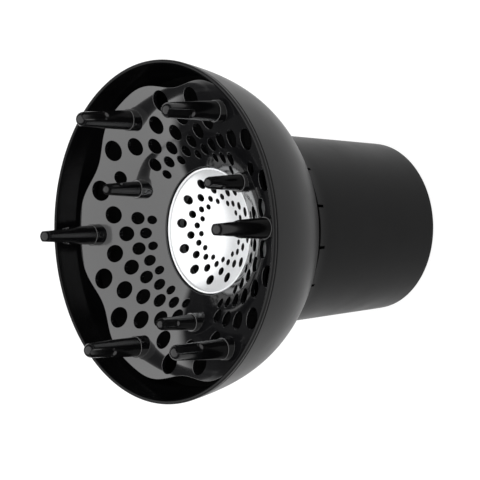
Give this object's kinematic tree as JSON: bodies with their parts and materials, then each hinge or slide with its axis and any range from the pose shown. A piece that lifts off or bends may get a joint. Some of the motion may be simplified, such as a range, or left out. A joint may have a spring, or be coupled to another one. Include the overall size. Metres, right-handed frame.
{
  "type": "hair dryer diffuser",
  "caption": "Wide round hair dryer diffuser bowl with a perforated, fingered air plate and a pale centre dish, turning on a tapered push-on neck.",
  "frame": {"origin": "centre of the neck's open end, on the axis that the neck, bowl and socket share", "axes": "+Z along the axis from the neck's end to the bowl's mouth, +X through one outer finger"},
  "size_m": [0.15, 0.15, 0.153],
  "materials": {
    "satin_black": "satin moulded",
    "gloss_black": "glossy moulded",
    "soft_black": "matt silicone",
    "ceramic_white": "satin ceramic-look coating",
    "glide_white": "waxy low-friction plastic",
    "steel": "plain zinc-plated"
  },
  "bodies": {
    "neck": {"neck_sleeve": "satin_black", "grip_liner": "soft_black", "glide_ring": "glide_white"},
    "bowl": {"bowl_shell": "satin_black", "friction_ring": "soft_black", "retaining_ring": "steel", "finger_plate": "gloss_black", "finger_clips": "steel", "plate_screws": "steel", "outer_finger_1": "gloss_black", "outer_finger_2": "gloss_black", "outer_finger_3": "gloss_black", "outer_finger_4": "gloss_black", "outer_finger_5": "gloss_black", "outer_finger_6": "gloss_black", "inner_finger_1": "gloss_black", "inner_finger_2": "gloss_black", "inner_finger_3": "gloss_black", "ceramic_dish": "ceramic_white", "dish_gasket": "soft_black", "dish_screws": "steel"}
  },
  "joints": [
    {"name": "bowl_turn", "type": "hinge", "parent": "neck", "child": "bowl", "pos_m": [0, 0, 0.064], "axis": [0, 0, 1], "continuous": true}
  ]
}
